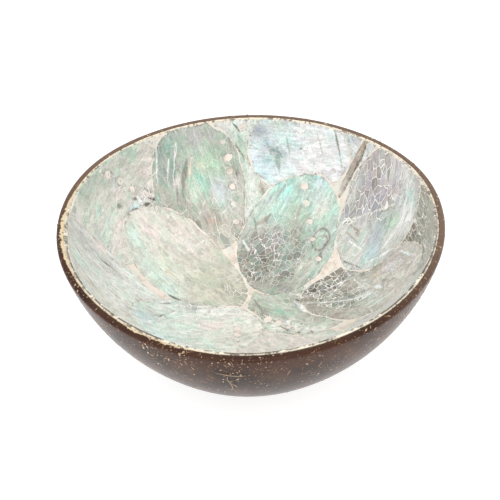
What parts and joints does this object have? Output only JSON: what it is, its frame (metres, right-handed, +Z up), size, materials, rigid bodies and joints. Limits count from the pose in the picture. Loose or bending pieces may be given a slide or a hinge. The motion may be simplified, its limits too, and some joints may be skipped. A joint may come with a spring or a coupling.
{
  "type": "coconut shell bowl",
  "caption": "Round bowl of half a coconut shell, lined with abalone shell leaves set in pale putty and lacquered; sawn rim, flat ground base.",
  "frame": {"origin": "on the middle line of the bowl, at the ground flat it stands on", "axes": "+Z up through the open mouth, -Y towards the side that faces the camera, +X to its right"},
  "size_m": [0.1398, 0.1408, 0.0566],
  "materials": {
    "coconut": "polished and lacquered, gloss",
    "putty": "sanded flush, clear lacquer",
    "nacre_pale": "pale green mother of pearl under clear lacquer",
    "nacre_cream": "cream green mother of pearl under clear lacquer",
    "nacre_green": "green and turquoise mother of pearl under clear lacquer",
    "nacre_lilac": "lilac and blue mother of pearl under clear lacquer",
    "nacre_grey": "grey crackled mother of pearl under clear lacquer",
    "nacre_brown": "brown crackled shell under clear lacquer"
  },
  "bodies": {
    "root": {"coconut_shell": "coconut", "putty_bed": "putty", "leaf_floor_mid": "nacre_pale", "leaf_floor_left": "nacre_cream", "leaf_right": "nacre_lilac", "leaf_centre": "nacre_green", "leaf_back_left": "nacre_green", "leaf_right_low": "nacre_grey", "leaf_left": "nacre_grey", "leaf_sliver": "nacre_brown", "leaf_upper_left": "nacre_pale", "leaf_back": "nacre_lilac", "leaf_front": "nacre_green", "leaf_side_right": "nacre_lilac", "leaf_rim_right": "nacre_brown", "leaf_floor_right": "nacre_green", "leaf_floor_front": "nacre_cream", "leaf_front_left": "nacre_pale", "leaf_front_right": "nacre_green", "leaf_back_strip": "nacre_pale", "leaf_wedge": "nacre_lilac", "leaf_floor_dip": "nacre_cream"}
  },
  "joints": []
}
